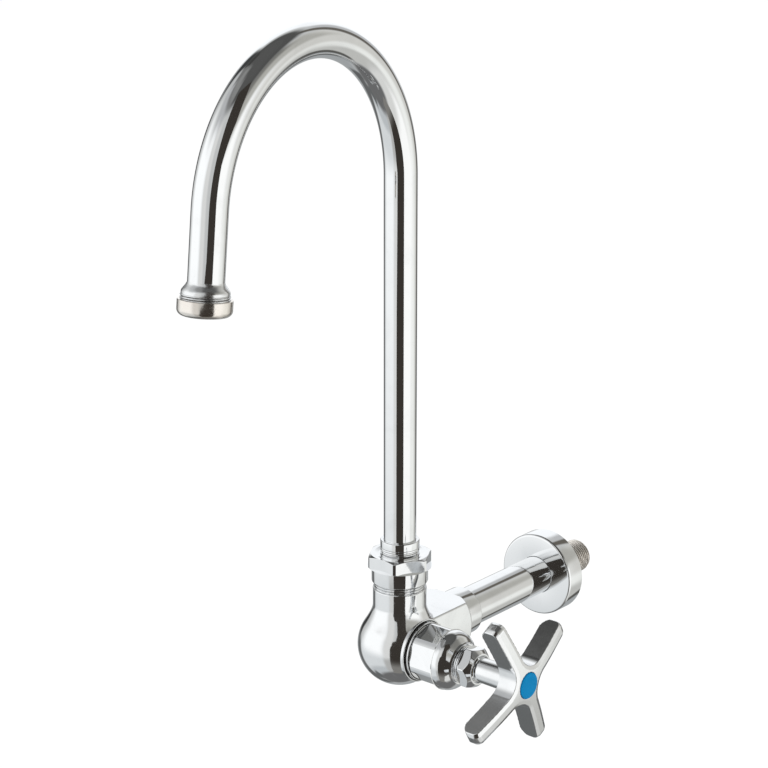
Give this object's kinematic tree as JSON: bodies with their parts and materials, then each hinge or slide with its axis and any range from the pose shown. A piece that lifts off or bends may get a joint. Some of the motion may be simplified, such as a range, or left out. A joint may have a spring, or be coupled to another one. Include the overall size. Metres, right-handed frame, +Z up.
{
  "type": "cross handle faucet",
  "caption": "Wall-mounted cold water faucet: ball body with a screw-down valve, cross handle on the side and a swivelling gooseneck spout with a screwed-on flow straightener.",
  "frame": {"origin": "on the inlet's axis in the plane of the wall, at the flange's rim", "axes": "+Y into the wall along the inlet, +Z up along the riser, +X out along the handle's axis"},
  "size_m": [0.1224, 0.3699, 0.4173],
  "materials": {
    "chrome": "polished chrome plate on brass",
    "satin_nickel": "satin nickel plate on brass",
    "brass": "machined brass",
    "chromed_stem": "polished chrome plate on brass",
    "rubber": "moulded black rubber",
    "fibre": "dark pressed fibre",
    "white_plastic": "moulded acetal",
    "steel": "stainless steel",
    "blue_plastic": "glossy moulded plastic"
  },
  "bodies": {
    "fixed": {"valve_body": "chrome", "valve_seat": "brass", "inlet_gasket": "fibre", "inlet_collar": "chrome", "inlet_pipe": "chrome", "wall_nipple": "satin_nickel", "swivel_nut": "chrome", "thrust_washer": "white_plastic", "slip_ring": "white_plastic", "bonnet": "chrome", "bonnet_gasket": "fibre", "packing_washer": "brass", "packing_ring": "fibre", "gland_nut": "chrome"},
    "flange": {"wall_flange": "chrome", "flange_grip_ring": "rubber"},
    "spout": {"spout_stem": "chromed_stem", "stem_o_rings": "rubber", "spout_tube": "chrome", "outlet_adapter": "satin_nickel", "aerator_washer": "rubber", "aerator_screen": "steel", "aerator_insert": "white_plastic", "aerator_housing": "satin_nickel"},
    "jumper": {"washer_holder": "brass", "seat_washer": "rubber", "seat_screw": "brass"},
    "handle": {"valve_stem": "brass", "cross_handle": "chrome", "handle_lock_washer": "steel", "handle_screw": "steel", "index_button": "blue_plastic"}
  },
  "joints": [
    {"name": "flange_slide", "type": "slide", "parent": "fixed", "child": "flange", "axis": [0, -1, 0], "range_m": [0, 0.07]},
    {"name": "spout_swivel", "type": "hinge", "parent": "fixed", "child": "spout", "pos_m": [0, -0.15, -0.0015], "axis": [0, 0, 1], "range_deg": [-145, 134]},
    {"name": "valve_lift", "type": "slide", "parent": "fixed", "child": "jumper", "axis": [1, 0, 0], "range_m": [0, 0.00375]},
    {"name": "handle_turn", "type": "hinge", "parent": "jumper", "child": "handle", "pos_m": [0, -0.15, -0.0015], "axis": [1, 0, 0], "range_deg": [0, 540]}
  ],
  "couplings": [
    {"joint": "valve_lift", "follows": "handle_turn", "m_per_rad": 0.00039789}
  ]
}
